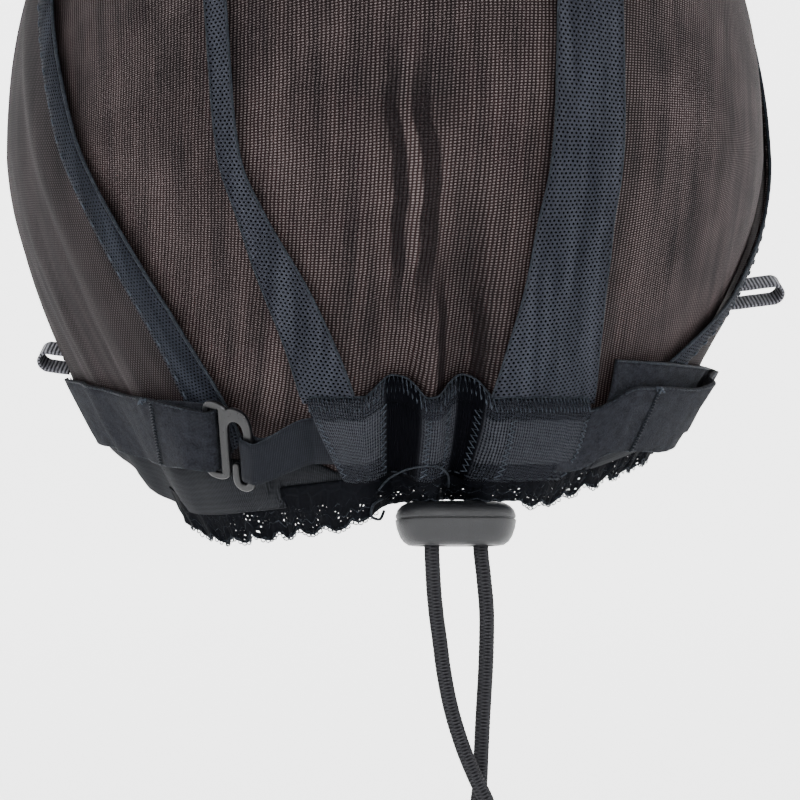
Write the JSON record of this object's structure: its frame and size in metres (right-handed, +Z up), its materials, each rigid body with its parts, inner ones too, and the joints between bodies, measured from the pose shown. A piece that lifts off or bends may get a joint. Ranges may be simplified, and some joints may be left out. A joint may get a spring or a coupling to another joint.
{
  "type": "wig cap",
  "caption": "Sheer black stretch wig cap with ribs, a gathered nape casing, a hooked strap, side straps, lace hem and a drawcord with a cord lock.",
  "frame": {"origin": "the inner top of the crown, where the cap rests on a head", "axes": "+Z up through the crown, +Y towards the nape, -Y towards the face, +X towards the wearer's left"},
  "size_m": [0.1577, 0.1884, 0.229],
  "materials": {
    "net": "sheer stretch net",
    "rib_net": "coarse stretch mesh",
    "casing_net": "see-through mesh",
    "tape": "woven ribbon",
    "elastic": "plush elastic",
    "lace": "open lace",
    "hook": "satin",
    "lock": "fine texture",
    "cord": "round braid",
    "grosgrain": "ribbed ribbon"
  },
  "bodies": {
    "root": {"back_panel": "net", "front_panel": "net", "nape_casing": "casing_net", "side_band": "elastic", "rib_left": "rib_net", "rib_right": "rib_net", "strap_hook": "hook", "strap_left": "elastic", "strap_right": "elastic", "nape_tape": "tape", "lace_trim": "lace", "ribbon_loop_left": "grosgrain", "ribbon_loop_right": "grosgrain", "cord_lock": "lock", "drawcord_left": "cord", "drawcord_right": "cord", "drawcord_knot": "cord"}
  },
  "joints": []
}
